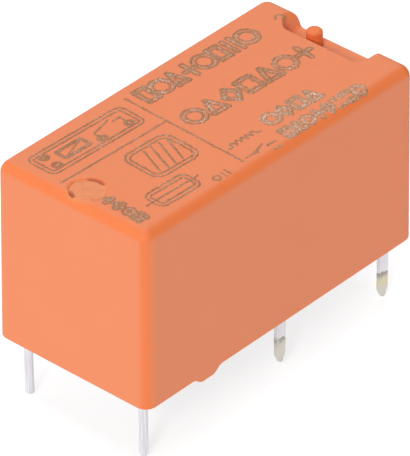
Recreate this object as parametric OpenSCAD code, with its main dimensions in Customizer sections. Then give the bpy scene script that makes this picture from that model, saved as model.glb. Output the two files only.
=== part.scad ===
// Sealed miniature power relay for a printed circuit board: one normally open contact, coil lying along the body.
// The origin is coil pin 1 at the board surface, +X runs along the body and +Z stands up from the board.

/* [Cover] */
// Length of the cover, along X
body_l = 20.0; // [19:0.1:21]
// Width of the cover, along Y
body_w = 9.9; // [9.6:0.05:10.2]
// Height of the cover above its own rim
cover_h = 10.25; // [10:0.05:10.8]
// Height of the small feet that keep the rim off the board
standoff = 0.35; // [0.2:0.05:0.6]
// Thickness of the side walls
wall = 0.5; // [0.4:0.05:0.55]
// Thickness of the top
top_wall = 0.65; // [0.5:0.05:0.7]
// Radius of the upright and top edges
edge_r = 0.65; // [0.4:0.05:0.9]

/* [Vent recess] */
// Length of the recess in from the far end
recess_l = 1.8; // [1.6:0.1:2]
// Width of its floor across the body
recess_w = 4.4; // [4:0.1:4.6]
// How far the recess is off the middle, towards the armature side
recess_off = 0.4; // [0:0.05:0.6]
// Depth of the recess below the top face
recess_d = 0.88; // [0.7:0.02:0.94]
// Width of the sloping wall at the contact side of the recess
slope_w = 0.72; // [0.4:0.02:0.9]
// Diameter of the vent nub
nub_d = 0.85; // [0.6:0.05:1]
// How far the nub stands above the top face
nub_proud = 0.06; // [0:0.02:0.2]

/* [Terminals] */
// Pitch of the pin grid
grid = 2.54; // [2.5:0.01:2.6]
// Diameter of the round coil pins
pin_d = 0.46; // [0.4:0.01:0.6]
// Width of the flat contact pins
blade_w = 0.64; // [0.5:0.02:0.8]
// Thickness of the contact sheet metal
blade_t = 0.25; // [0.2:0.01:0.3]
// Length of the pins below the board surface
pin_l = 3.27; // [3:0.01:3.6]
// How much further the pointed coil pin reaches
point_l = 0.12; // [0:0.01:0.3]

/* [Coil] */
// Thickness of the core across the body
core_t = 1.4; // [1.2:0.1:1.6]
// Height of the core
core_h = 3.0; // [2.6:0.1:3.4]
// Depth of the winding on the bobbin
winding_d = 1.05; // [0.8:0.05:1.1]
// Height of the coil axis above the board
coil_z = 6.0; // [5.9:0.05:6.1]

/* [Contact system] */
// Stroke of the armature where it meets the card
stroke = 0.45; // [0.35:0.01:0.45]
// Gap between the open contacts
contact_gap = 0.36; // [0.35:0.01:0.45]
// Thickness of the contact spring
spring_t = 0.1; // [0.08:0.01:0.12]

/* [Hidden] */
$fn = 64;

// Colours
orange = "#ee8155";
cream = "#e8e0cc";
resin_dark = "#3b3a3a";
black_plastic = "#2b2c2e";
copper = "#b4613a";
tape_amber = "#c98f3a";
iron = "#a9abad";
tin = "#d5d6d8";
bronze = "#c79a5b";
silver = "#e3e4e6";

// Where the middle of the body lies from coil pin 1
pin_in_x = 1.0;
coil_row = 3 * grid;
mid_x = body_l / 2 - pin_in_x;
mid_y = coil_row / 2;

// Levels above the board
rim_z = standoff;
top_z = standoff + cover_h;
ceiling_z = top_z - top_wall;
resin_z = rim_z + 0.15;
base_z = resin_z + 0.6;
floor_z = base_z + 0.8;
recess_z = top_z - recess_d;

// Inside of the cover, and the gap round the base that the resin closes
in_x = body_l / 2 - wall;
in_y = body_w / 2 - wall;
in_r = 0.5;
base_gap = 0.05;
eps = 0.01;

// Places of the pins, from the middle of the body
near_x = -mid_x;
side_y = mid_y;
common_x = near_x + 4 * grid;
fixed_x = near_x + 7 * grid;

// Feet of the cover: two on the long sides and one at the far end
foot_x = -5.55;
foot_w = 2.05;
foot_flat = 0.8;
foot_t = 0.6;

// Gate mark of the moulding, a shallow dish that breaks into the near top edge
gate_x = -body_l / 2 + 1.25;
gate_y = -0.1;
gate_d = 1.85;
gate_depth = 0.08;

// Magnet system, from the middle of the body
coil_y = 0.5;
plate_t = 1.0;
plate_z0 = coil_z - 1.8;
plate_z1 = coil_z + 1.8;
plate_y0 = coil_y - 1.5;
face_y = 3.15;
heel_x = -8.8;
pole_x = 4.2;
tenon_t = 1.0;
tenon_h = 2.0;
flange_t = 0.5;
near_flange_x = heel_x + plate_t + 0.1;
far_flange_x = pole_x - 0.1 - flange_t;
winding_x = near_flange_x + flange_t;
winding_l = far_flange_x - winding_x;
tube_wall = 0.35;
tape_t = 0.06;
flange_w = 4.9;
flange_top = 9.35;
near_foot_z = floor_z + 1.25;
post_z = near_foot_z + 0.9;

// Armature: it rocks on the outer edge of the heel yoke and rests open
armature_t = 0.6;
armature_l = 14.25;
tongue_l = 1.65;
tongue_h = 1.1;
press_x = 6.6;
lever = press_x - heel_x;
open_angle = asin(stroke / lever);
press_y = face_y + lever * tan(open_angle);
hinge_spring_h = 1.6;
leaf_t = 0.1;
leaf_bend = 0.25;
stake_d = 0.6;

// Contact side
terminal_y = -side_y;
sheet_in = terminal_y + blade_t / 2;
contact_x = 7.3;
fixed_head_d = 2.2;
fixed_head_t = 0.38;
moving_head_d = 2.0;
moving_head_t = 0.35;
shank_d = 0.8;
rear_head_d = 1.3;
rear_head_t = 0.22;
spring_y = sheet_in + fixed_head_t + contact_gap + moving_head_t + spring_t / 2;
spring_root_x = 0.1;
joggle_x0 = 2.2;
joggle_x1 = 3.2;
spring_end_x = 8.95;
spring_root_h = 3.2;
spring_h = 2.2;
stake_x = common_x;
stake_dz = 1.0;

// Card
card_gap = 0.02;
card_x0 = 6.1;
card_w = 0.95;
card_h = 2.2;
card_nose_x = 8.65;
guide_x0 = 6.7;
guide_x1 = 7.9;
rib_t = 0.45;
rib_gap = 0.05;

// Coil leads
lead_d = 0.1;
lead_sides = 8;
lead_turns = 2;
lead_steps = 10;

// Puts a shape that is drawn about the middle of the body where pin 1 is the origin
module in_body() {
    translate([mid_x, mid_y, 0]) children();
}

// Extrudes an outline given in Y and Z along X
module along_x(x0, x1) {
    translate([x0, 0, 0]) rotate([90, 0, 90]) linear_extrude(x1 - x0) children();
}

// Extrudes an outline given in X and Z along Y
module along_y(y0, y1) {
    translate([0, y1, 0]) rotate([90, 0, 0]) linear_extrude(y1 - y0) children();
}

// Box between two corners
module block(a, b) {
    translate(a) cube(b - a);
}

// Rectangle about its centre with round corners
module rounded_rect(w, h, r) {
    square([w - 2 * r, h], center = true);
    square([w, h - 2 * r], center = true);
    for (x = [-1, 1], y = [-1, 1])
        translate([x * (w / 2 - r), y * (h / 2 - r)]) circle(r);
}

// The sliver between a square corner at the origin and an arc that rounds it
module corner_flare(r) {
    difference() {
        translate([-eps, -eps]) square(r + eps);
        translate([r, r]) circle(r);
    }
}

// Body with upright edges and top edges of one radius and a sharp rim
module soft_box(l, w, z0, z1, r) {
    hull() {
        translate([0, 0, z0]) linear_extrude(eps) rounded_rect(l, w, r);
        for (x = [-1, 1], y = [-1, 1])
            translate([x * (l / 2 - r), y * (w / 2 - r), z1 - r]) sphere(r, $fn = 48);
    }
}

// Foot profile in X and Z: a low arch with a flat tip on the board
module foot_outline() {
    r = (pow(foot_w / 2, 2) - pow(foot_flat / 2, 2) + pow(standoff, 2)) / (2 * standoff);
    arc_r = sqrt(pow(foot_w / 2, 2) + pow(r - standoff, 2));
    intersection() {
        translate([0, r]) circle(arc_r, $fn = 96);
        translate([-foot_w / 2, 0]) square([foot_w, rim_z + eps]);
    }
}

// Air cut by the vent recess: a pocket open at the far end, upright at one side and sloping at the other
module vent_recess() {
    y0 = recess_off - recess_w / 2;
    y1 = recess_off + recess_w / 2;
    x0 = body_l / 2 - recess_l;
    air = 1;
    scoop_r = 0.7;
    slope_r = 1.1;
    lip_r = 0.4;
    sill_r = 0.2;
    intersection() {
        along_x(x0 - eps, body_l / 2 + air) difference() {
            union() {
                polygon([
                    [y0, recess_z], [y1, recess_z], [y1, top_z + air], [y0 - slope_w, top_z + air],
                    [y0 - slope_w, top_z]
                ]);
                translate([y1, top_z]) rotate(-90) corner_flare(lip_r);
            }
            translate([y1, recess_z]) rotate(90) corner_flare(lip_r / 2);
        }
        translate([0, 0, recess_z - air]) linear_extrude(recess_d + 2 * air) difference() {
            translate([x0, y0 - slope_w]) square([recess_l + air, recess_w + slope_w + lip_r]);
            translate([x0, y1]) rotate(-90) corner_flare(scoop_r);
            translate([x0 - air, y1]) square([air + scoop_r, air]);
            translate([x0, y0 - slope_w]) corner_flare(slope_r);
        }
    }
    along_y(y0, y1) translate([body_l / 2, recess_z]) rotate(180) corner_flare(sill_r);
}

// Moulded cover with feet, vent recess and nub, and the gate mark
module cover() {
    color(orange) in_body() {
        difference() {
            union() {
                soft_box(body_l, body_w, rim_z, top_z, edge_r);
                for (side = [-1, 1])
                    along_y(side > 0 ? body_w / 2 - foot_t : -body_w / 2,
                            side > 0 ? body_w / 2 : foot_t - body_w / 2)
                        translate([foot_x, 0]) foot_outline();
                along_x(body_l / 2 - foot_t, body_l / 2) foot_outline();
            }
            difference() {
                translate([0, 0, -1]) linear_extrude(ceiling_z + 1)
                    rounded_rect(2 * in_x, 2 * in_y, in_r);
                block([body_l / 2 - recess_l - wall, recess_off - recess_w / 2 - slope_w, recess_z - wall],
                      [body_l / 2, recess_off + recess_w / 2 + wall, top_z]);
            }
            vent_recess();
            translate([gate_x, gate_y, top_z - gate_depth]) cylinder(d = gate_d, h = 1);
        }
        vent_nub();
    }
}

// Round post in the recess with a domed tip, cut open when the relay is vented
module vent_nub() {
    nub_x = body_l / 2 - 1;
    nub_y = 0.84;
    tip_r = 0.2;
    translate([nub_x, nub_y, recess_z - 0.1]) rotate_extrude() {
        square([nub_d / 2 - tip_r, recess_d + nub_proud + 0.1]);
        square([nub_d / 2, recess_d + nub_proud + 0.1 - tip_r]);
        translate([nub_d / 2 - tip_r, recess_d + nub_proud + 0.1 - tip_r]) intersection() {
            circle(tip_r);
            square(tip_r);
        }
    }
}

// Everything that comes down through the base and the resin
module terminals_below() {
    coil_pin_shape(-1);
    coil_pin_shape(1);
    common_shape();
    fixed_shape();
}

// Epoxy poured into the rim of the cover from below
module sealing_resin() {
    color(resin_dark) in_body() difference() {
        translate([0, 0, resin_z]) linear_extrude(base_z - resin_z)
            rounded_rect(2 * in_x, 2 * in_y, in_r);
        terminals_below();
    }
}

// Base moulding: floor, sockets for the terminals, wall between coil and contacts, ribs that guide the card
module base() {
    socket_top = floor_z + 1.7;
    socket_y0 = -in_y + 0.15;
    socket_y1 = sheet_in + 0.7;
    partition_x0 = winding_x + 0.6;
    partition_x1 = pole_x + plate_t + 0.4;
    partition_y = coil_y - flange_w / 2 - 0.05;
    partition_t = 0.35;
    color(black_plastic) in_body() difference() {
        union() {
            translate([0, 0, base_z]) linear_extrude(floor_z - base_z)
                rounded_rect(2 * (in_x - base_gap), 2 * (in_y - base_gap), in_r - base_gap);
            block([common_x - 1.8, socket_y0, floor_z - eps], [common_x + 1.8, socket_y1, socket_top]);
            block([fixed_x - 2.9, socket_y0, floor_z - eps], [fixed_x + 0.5, socket_y1, socket_top]);
            block([partition_x0, partition_y - partition_t, floor_z - eps],
                  [partition_x1, partition_y, flange_top - 0.3]);
            for (x = [guide_x0 - rib_gap - rib_t, guide_x1 + rib_gap])
                block([x, -1.4, floor_z - eps], [x + rib_t, 3.2, floor_z + 1.7]);
        }
        terminals_below();
    }
}

// Spool of the coil: tube, two flanges, and the foot that carries the coil pins
module bobbin() {
    tube_w = core_t + 2 * tube_wall;
    tube_h = core_h + 2 * tube_wall;
    flange_r = 0.4;
    saddle = 0.9;
    foot_gap = 0.1;
    color(cream) in_body() difference() {
        union() {
            along_x(near_flange_x, far_flange_x + flange_t)
                translate([coil_y, coil_z]) rounded_rect(tube_w, tube_h, 0.3);
            for (x = [near_flange_x, far_flange_x])
                along_x(x, x + flange_t) translate([coil_y, (floor_z + flange_top) / 2])
                    rounded_rect(flange_w, flange_top - floor_z, flange_r);
            translate([0, 0, floor_z]) linear_extrude(near_foot_z - floor_z) intersection() {
                rounded_rect(2 * (in_x - foot_gap), 2 * (in_y - foot_gap), in_r - foot_gap);
                translate([-in_x, -in_y]) square([in_x + near_flange_x + flange_t, 2 * in_y]);
            }
            block([far_flange_x, coil_y - 2, floor_z], [pole_x + plate_t, coil_y + 2, floor_z + saddle]);
        }
        along_x(near_flange_x - 1, far_flange_x + flange_t + 1)
            translate([coil_y, coil_z]) square([core_t, core_h], center = true);
        coil_pin_shape(-1);
        coil_pin_shape(1);
    }
}

// Copper winding, layer wound between the flanges
module coil_winding() {
    color(copper) in_body() along_x(winding_x, winding_x + winding_l) translate([coil_y, coil_z])
        difference() {
            rounded_rect(core_t + 2 * (tube_wall + winding_d), core_h + 2 * (tube_wall + winding_d), 0.9);
            rounded_rect(core_t + 2 * tube_wall, core_h + 2 * tube_wall, 0.3);
        }
}

// One turn of tape over the winding, short of both flanges
module coil_tape() {
    w = core_t + 2 * (tube_wall + winding_d);
    h = core_h + 2 * (tube_wall + winding_d);
    edge = 0.2;
    color(tape_amber) in_body() along_x(winding_x + edge, winding_x + winding_l - edge)
        translate([coil_y, coil_z]) difference() {
            rounded_rect(w + 2 * tape_t, h + 2 * tape_t, 0.9 + tape_t);
            rounded_rect(w, h, 0.9);
        }
}

// Flat iron bar with a tenon at each end
module core() {
    x0 = heel_x + plate_t;
    color(iron) in_body() translate([0, coil_y, coil_z]) {
        block([x0, -core_t / 2, -core_h / 2], [pole_x, core_t / 2, core_h / 2]);
        block([heel_x, -tenon_t / 2, -tenon_h / 2], [pole_x + plate_t, tenon_t / 2, tenon_h / 2]);
    }
}

// Iron end plate with a window for the core's tenon; its end towards the armature is the pole
module end_plate(x0) {
    corner = 0.3;
    along_x(x0, x0 + plate_t) difference() {
        polygon([
            [plate_y0 + corner, plate_z0], [face_y, plate_z0], [face_y, plate_z1],
            [plate_y0 + corner, plate_z1], [plate_y0, plate_z1 - corner], [plate_y0, plate_z0 + corner]
        ]);
        translate([coil_y, coil_z]) square([tenon_t, tenon_h], center = true);
    }
}

// Plate at the near end, on whose edge the armature rocks
module heel_yoke() {
    color(iron) in_body() end_plate(heel_x);
}

// Plate at the far end, which draws the armature in
module pole_piece() {
    color(iron) in_body() end_plate(pole_x);
}

// Coil pin: round wire, coined square where the resin and the base grip it, with a round post on top for the
// lead; the one on the contact side is pointed and the other is cut off square
module coil_pin_shape(side) {
    end_l = side < 0 ? pin_l + point_l : pin_l;
    taper = side < 0 ? [0.13, 0.3] : [0.03, 0.03];
    coined_z = rim_z + 0.05;
    coined_top = base_z + 0.5;
    coined_w = pin_d + 0.06;
    translate([near_x, side * side_y, 0]) {
        translate([0, 0, -end_l]) rotate_extrude($fn = 48) polygon([
            [0, 0], [pin_d / 2 - taper[0], 0], [pin_d / 2, taper[1]], [pin_d / 2, end_l + coined_z],
            [0, end_l + coined_z]
        ]);
        translate([-coined_w / 2, -coined_w / 2, coined_z]) cube([coined_w, coined_w, coined_top - coined_z]);
        translate([0, 0, coined_top]) cylinder(d = pin_d, h = post_z - coined_top, $fn = 48);
    }
}

module coil_pin_right() {
    color(tin) in_body() coil_pin_shape(-1);
}

module coil_pin_left() {
    color(tin) in_body() coil_pin_shape(1);
}

// Tube of small section swept along a list of points
function unit(v) = v / norm(v);
function ring_frame(d) = let (s = abs(d.z) > 0.9 ? [1, 0, 0] : [0, 0, 1], u = unit(cross(s, d))) [u, cross(d, u)];
module swept_wire(pts, r, sides) {
    n = len(pts);
    dirs = [for (i = [0 : n - 1]) unit(pts[min(i + 1, n - 1)] - pts[max(i - 1, 0)])];
    rings = [for (i = [0 : n - 1], k = [0 : sides - 1])
        let (f = ring_frame(dirs[i]), a = 360 * k / sides) pts[i] + r * (cos(a) * f[0] + sin(a) * f[1])];
    sides_of = [for (i = [0 : n - 2], k = [0 : sides - 1])
        [i * sides + k, i * sides + (k + 1) % sides, (i + 1) * sides + (k + 1) % sides, (i + 1) * sides + k]];
    first = [for (k = [sides - 1 : -1 : 0]) k];
    last = [for (k = [0 : sides - 1]) (n - 1) * sides + k];
    polyhedron(rings, concat([first], sides_of, [last]), convexity = 10);
}

// End of the winding, led round the flange and wrapped on the post of its coil pin
module lead_wire(side) {
    wall_y = coil_y + side * (core_t / 2 + tube_wall + winding_d + lead_d / 2);
    flange_y = coil_y + side * (flange_w / 2 + 0.12);
    wrap_r = pin_d / 2 + lead_d / 2 + 0.01;
    wrap_z = near_foot_z + 0.15;
    post = [near_x, side * side_y];
    run = [
        [winding_x + 0.08, wall_y, wrap_z + 0.7],
        [winding_x + 0.04, (wall_y + flange_y) / 2, wrap_z + 0.55],
        [winding_x - 0.15, flange_y, wrap_z + 0.4],
        [near_flange_x - 0.1, flange_y + side * 0.04, wrap_z + 0.2],
        [(near_flange_x + near_x + wrap_r) / 2, (flange_y + side * side_y) / 2, wrap_z + 0.08]
    ];
    coil = [for (i = [0 : lead_turns * lead_steps])
        let (a = -side * 360 * i / lead_steps - side * 90)
            [post.x + wrap_r * cos(a), post.y + wrap_r * sin(a), wrap_z + (lead_d + 0.02) * i / lead_steps]];
    swept_wire(concat(run, coil), lead_d / 2, lead_sides);
}

module lead_wire_right() {
    color(copper) in_body() lead_wire(-1);
}

module lead_wire_left() {
    color(copper) in_body() lead_wire(1);
}

// Puts a shape drawn flat against the heel yoke at the open angle of the armature
module on_armature() {
    translate([heel_x, face_y, 0]) rotate([0, 0, open_angle]) children();
}

// Rocking iron plate: a notch at the heel for the spring and a tongue at the far end for the card
module armature() {
    notch = 0.5;
    color(iron) in_body() on_armature() {
        difference() {
            union() {
                block([0, 0, plate_z0], [armature_l, armature_t, plate_z1]);
                block([armature_l - eps, 0, coil_z - tongue_h / 2],
                      [armature_l + tongue_l, armature_t, coil_z + tongue_h / 2]);
            }
            block([-1, -1, coil_z - hinge_spring_h / 2 - 0.1],
                  [notch, armature_t + 1, coil_z + hinge_spring_h / 2 + 0.1]);
        }
        for (x = [2.4, 3.8])
            translate([x, armature_t - eps, coil_z]) rotate([-90, 0, 0])
                cylinder(d = stake_d, h = leaf_t + 0.1 + eps, $fn = 32);
    }
}

// Leaf bent round the heel: one leg on the yoke, one staked to the armature; it pushes the armature open
module return_spring() {
    leg_l = 3.6 + 1.2;
    color(bronze) in_body() translate([0, 0, coil_z - hinge_spring_h / 2]) difference() {
        linear_extrude(hinge_spring_h) {
            translate([heel_x - leaf_t, coil_y + tenon_t / 2 + 0.2])
                square([leaf_t, face_y + armature_t - leaf_bend - coil_y - tenon_t / 2 - 0.2]);
            translate([heel_x + leaf_bend, face_y + armature_t - leaf_bend]) intersection() {
                difference() {
                    circle(leaf_bend + leaf_t);
                    circle(leaf_bend);
                }
                polygon([[0, 0], [-1, 0], [-1, 1], [-sin(open_angle), cos(open_angle)]]);
            }
            translate([heel_x, face_y]) rotate(open_angle)
                translate([leaf_bend, armature_t]) square([leg_l - leaf_bend, leaf_t]);
        }
        translate([0, 0, -coil_z + hinge_spring_h / 2]) on_armature() for (x = [2.4, 3.8])
            translate([x, 0, coil_z]) rotate([-90, 0, 0]) cylinder(d = stake_d, h = 2, $fn = 32);
    }
}

// Moulded card: a fork at one end straddles the armature's tongue, the nose at the other pushes the spring
module actuator_card() {
    z0 = coil_z - card_h / 2;
    z1 = coil_z + card_h / 2;
    left_y = press_y - card_gap;
    nose_y = spring_y + spring_t / 2 + card_gap;
    prong = 0.55;
    slot_h = tongue_h + 0.2;
    nose_w = 0.5;
    color(cream) in_body() difference() {
        union() {
            block([card_x0, 0, z0], [card_x0 + card_w, left_y + prong, z1]);
            block([card_x0, -0.2, z0], [card_nose_x + nose_w / 2, 1.3, z1]);
            translate([0, 0, z0 + 0.4]) linear_extrude(card_h - 0.8) {
                translate([card_nose_x - nose_w / 2, nose_y + nose_w / 2]) square([nose_w, 1.2 - nose_y]);
                translate([card_nose_x, nose_y + nose_w / 2]) circle(d = nose_w);
            }
            block([guide_x0, -0.6, floor_z + 0.1], [guide_x1, 2.4, z0 + eps]);
        }
        block([card_x0 - 1, left_y, coil_z - slot_h / 2], [card_x0 + card_w + 1, left_y + 2, coil_z + slot_h / 2]);
    }
}

// Flat contact pin in X and Z: parallel blade with a tapered, rounded end
module blade_outline(x, top) {
    tip_r = 0.17;
    taper = 0.5;
    translate([x, -pin_l]) {
        translate([-blade_w / 2, taper]) square([blade_w, top + pin_l - taper]);
        translate([0, tip_r]) circle(tip_r);
        polygon([
            [-tip_r, tip_r], [tip_r, tip_r], [blade_w / 2, taper + eps], [-blade_w / 2, taper + eps]
        ]);
    }
}

// Stamped terminal of the contact spring, with two stakes that rivet the spring on
module common_shape() {
    shoulder_z = base_z + 0.3;
    along_y(terminal_y - blade_t / 2, sheet_in) {
        blade_outline(common_x, shoulder_z + eps);
        translate([common_x - 1.2, shoulder_z]) square([2.4, plate_z1 - shoulder_z]);
    }
}

module common_terminal() {
    stake_l = spring_t + 0.15;
    color(tin) in_body() {
        common_shape();
        for (z = [coil_z - stake_dz, coil_z + stake_dz])
            translate([stake_x, sheet_in - eps, z]) rotate([-90, 0, 0])
                cylinder(d = stake_d, h = stake_l + eps, $fn = 32);
    }
}

// Phosphor bronze leaf: flat root on the terminal, a joggle inwards, then the straight arm with the contact
module contact_spring() {
    root_y = sheet_in + spring_t / 2;
    h = spring_t / 2;
    color(bronze) in_body() difference() {
        intersection() {
            translate([0, 0, coil_z - spring_root_h / 2]) linear_extrude(spring_root_h) polygon([
                [spring_root_x, root_y - h], [joggle_x0 + h, root_y - h], [joggle_x1 + h, spring_y - h],
                [spring_end_x, spring_y - h], [spring_end_x, spring_y + h], [joggle_x1 - h, spring_y + h],
                [joggle_x0 - h, root_y + h], [spring_root_x, root_y + h]
            ]);
            along_y(-in_y, 0) polygon([
                [spring_root_x, coil_z - spring_root_h / 2], [joggle_x1, coil_z - spring_root_h / 2],
                [joggle_x1 + 0.8, coil_z - spring_h / 2], [spring_end_x, coil_z - spring_h / 2],
                [spring_end_x, coil_z + spring_h / 2], [joggle_x1 + 0.8, coil_z + spring_h / 2],
                [joggle_x1, coil_z + spring_root_h / 2], [spring_root_x, coil_z + spring_root_h / 2]
            ]);
        }
        for (z = [coil_z - stake_dz, coil_z + stake_dz])
            translate([stake_x, -in_y, z]) rotate([-90, 0, 0]) cylinder(d = stake_d, h = 3, $fn = 32);
        translate([contact_x, -in_y, coil_z]) rotate([-90, 0, 0]) cylinder(d = shank_d, h = 3, $fn = 32);
    }
}

// Rivet along Y: domed head, shank through the sheet, and the flat head that clinches it
module contact_rivet(head_d, head_t, sheet_t, rear_d, rear_t) {
    dome = 0.08;
    rise_r = (pow(head_d / 2, 2) + pow(dome, 2)) / (2 * dome);
    rotate([-90, 0, 0]) {
        rotate_extrude() intersection() {
            translate([0, -head_t]) square([head_d / 2, head_t]);
            translate([0, rise_r - head_t]) circle(rise_r, $fn = 360);
        }
        translate([0, 0, -eps]) cylinder(d = shank_d, h = sheet_t + 2 * eps);
        translate([0, 0, sheet_t]) cylinder(d = rear_d, h = rear_t);
    }
}

module moving_contact() {
    color(silver) in_body() translate([contact_x, spring_y - spring_t / 2, coil_z])
        contact_rivet(moving_head_d, moving_head_t, spring_t, rear_head_d, rear_head_t);
}

// Stamped terminal that carries the fixed contact on a plate beside the spring
module fixed_shape() {
    shoulder_z = base_z + 0.3;
    neck_x0 = fixed_x - 0.9;
    neck_x1 = fixed_x + 0.42;
    plate_x0 = contact_x - 1.4;
    along_y(terminal_y - blade_t / 2, sheet_in) difference() {
        union() {
            blade_outline(fixed_x, shoulder_z + eps);
            translate([neck_x0, shoulder_z]) square([neck_x1 - neck_x0, plate_z1 - shoulder_z]);
            translate([plate_x0, plate_z0 + 0.2]) square([neck_x1 - plate_x0, plate_z1 - plate_z0 - 0.2]);
        }
        translate([contact_x, coil_z]) circle(d = shank_d);
    }
}

module fixed_terminal() {
    color(tin) in_body() fixed_shape();
}

module fixed_contact() {
    color(silver) in_body() translate([contact_x, sheet_in, coil_z]) rotate([0, 0, 180])
        contact_rivet(fixed_head_d, fixed_head_t, blade_t, 1.5, 0.15);
}

cover();
sealing_resin();
base();
bobbin();
coil_winding();
coil_tape();
core();
heel_yoke();
pole_piece();
coil_pin_right();
coil_pin_left();
lead_wire_right();
lead_wire_left();
armature();
return_spring();
actuator_card();
common_terminal();
contact_spring();
moving_contact();
fixed_terminal();
fixed_contact();
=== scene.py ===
# A sealed miniature power relay, standing on its four pins on a pale table. The sections follow the relay
# as it is put together: coil, magnet, base, terminals, contacts, armature, card, cover, marks and resin.
import math

import bpy
import numpy as np
from mathutils import Matrix, Vector


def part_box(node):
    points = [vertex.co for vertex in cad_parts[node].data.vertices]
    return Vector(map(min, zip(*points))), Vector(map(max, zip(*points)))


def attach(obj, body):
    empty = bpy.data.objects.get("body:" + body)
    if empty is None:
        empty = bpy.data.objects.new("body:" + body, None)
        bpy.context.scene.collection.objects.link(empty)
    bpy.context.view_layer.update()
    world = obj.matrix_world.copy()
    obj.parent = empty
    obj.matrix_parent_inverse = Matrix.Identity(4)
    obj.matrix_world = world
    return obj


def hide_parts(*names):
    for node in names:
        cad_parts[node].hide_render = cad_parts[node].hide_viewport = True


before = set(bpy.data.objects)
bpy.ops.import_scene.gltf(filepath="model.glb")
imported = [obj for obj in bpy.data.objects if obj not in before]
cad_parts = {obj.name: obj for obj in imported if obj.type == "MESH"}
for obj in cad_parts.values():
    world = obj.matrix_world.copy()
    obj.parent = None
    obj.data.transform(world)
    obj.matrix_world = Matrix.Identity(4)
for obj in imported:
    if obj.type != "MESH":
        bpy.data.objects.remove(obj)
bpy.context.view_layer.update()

# Coil pins
# Two lengths of round tinned copper wire, pressed up through the foot of the bobbin. Below the body the one
# on the contact side is blunt pointed, and the other is cut off square and leans a little.
MM = 0.001
pin_r = 0.23
pin_sides = 40
pin_bevel = 0.015
flare_top = 1.6


def box_mm(node):
    """Lowest and highest corner of a CAD node, in millimetres."""
    low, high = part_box(node)
    return np.array(low) / MM, np.array(high) / MM


def added(name, data):
    """A new object in the scene, with that mesh, light or camera."""
    made = bpy.data.objects.new(name, data)
    bpy.context.scene.collection.objects.link(made)
    return made


def mesh_piece(name, corners, faces, finish):
    """A smooth piece from corners in millimetres, with its finish."""
    mesh = bpy.data.meshes.new(name)
    mesh.from_pydata((np.asarray(corners) * MM).tolist(), [], faces)
    mesh.shade_smooth()
    mesh.materials.append(finish)
    return added(name, mesh)


def turned(name, profile, sides, place, finish):
    """A piece turned from a profile of (radius, height) pairs; place() puts its corners where they belong."""
    turns = [2 * math.pi * k / sides for k in range(sides)]
    rings = [(r * math.cos(turn), r * math.sin(turn), h) for r, h in profile[1:-1] for turn in turns]
    corners = [(0, 0, profile[0][1]), *rings, (0, 0, profile[-1][1])]
    last = len(corners) - 1
    faces = []
    for k in range(sides):
        n = (k + 1) % sides
        faces.append((0, 1 + n, 1 + k))
        faces.append((last, last - sides + k, last - sides + n))
        for a in range(1, last - sides, sides):
            faces.append((a + k, a + n, a + sides + n, a + sides + k))
    return mesh_piece(name, place(np.array(corners, float)), faces, finish)


def stand_in(piece, node, body="housing"):
    """The piece is shown in place of that CAD node and rides on the body."""
    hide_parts(node)
    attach(piece, body)


class Socket:
    """An output of a node: sums written on it add Math nodes."""

    def __init__(self, graph, output):
        self.graph = graph
        self.output = output

    def maths(self, operation, first, second):
        return self.graph.node("ShaderNodeMath", {"operation": operation}, {0: first, 1: second})

    def __add__(self, other):
        return self.maths("ADD", self, other)

    def __sub__(self, other):
        return self.maths("SUBTRACT", self, other)

    def __rsub__(self, other):
        return self.maths("SUBTRACT", other, self)

    def __mul__(self, other):
        return self.maths("MULTIPLY", self, other)

    __radd__ = __add__
    __rmul__ = __mul__

    def ramp(self, low, high):
        """Smooth step from 0 where the number is low to 1 where it is high."""
        sockets = {0: self, 1: low, 2: high, 3: 0.0, 4: 1.0}
        return self.graph.node("MapRange", {"interpolation_type": "SMOOTHSTEP"}, sockets)


class Graph:
    """A tree of nodes, most of them of one family, and the method that adds any node to it."""

    def __init__(self, tree, family):
        self.tree = tree
        self.family = family

    def feed(self, node, sockets):
        """Sets or links inputs of a node. A list is linked to one input in its order."""
        for key, value in sockets.items():
            for one in value if isinstance(value, list) else [value]:
                if isinstance(one, Socket):
                    self.tree.links.new(one.output, node.inputs[key])
                else:
                    node.inputs[key].default_value = one

    def node(self, kind, settings=None, sockets=None, output=0):
        made = self.tree.nodes.new(kind if "Node" in kind else self.family + kind)
        for key, value in (settings or {}).items():
            setattr(made, key, value)
        self.feed(made, sockets or {})
        return Socket(self, made.outputs[output])


class Finish(Graph):
    """A material with one Principled shader; plain holds the values that are the same all over."""

    def __init__(self, name, plain):
        self.material = bpy.data.materials.new(name)
        self.material.use_nodes = True
        super().__init__(self.material.node_tree, "ShaderNode")
        self.shade(plain)

    def shade(self, sockets):
        self.feed(self.tree.nodes["Principled BSDF"], sockets)
        return self.material

    def place(self, scale=(1, 1, 1)):
        """Object coordinates in millimetres, stretched by scale."""
        stretch = tuple(s / MM for s in scale)
        return self.node("Mapping", {}, {0: self.node("TexCoord", output="Object"), "Scale": stretch})

    def coordinate(self, axis):
        """One coordinate in millimetres."""
        return self.node("SeparateXYZ", {}, {0: self.place()}, axis)

    def noise(self, size, detail=2.0, scale=(1, 1, 1)):
        """Even noise from 0 to 1 with lumps of about that size in millimetres."""
        sockets = {"Vector": self.place(scale), "Scale": 1 / size, "Detail": detail, "Roughness": 0.55}
        return self.node("TexNoise", {}, sockets)

    def painted(self, name):
        """A number that is stored on the corners of the piece."""
        return self.node("Attribute", {"attribute_name": name}, output="Fac")

    def mix(self, factor, first, second):
        """Colour that goes from first to second with the factor."""
        sockets = {0: factor, 6: first, 7: second}
        return self.node("Mix", {"data_type": "RGBA", "clamp_factor": True}, sockets, 2)

    def bump(self, height, distance):
        """Normal of a surface raised by height times a distance in millimetres."""
        return self.node("Bump", {}, {"Height": height, "Distance": distance * MM, "Strength": 1.0})


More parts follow.
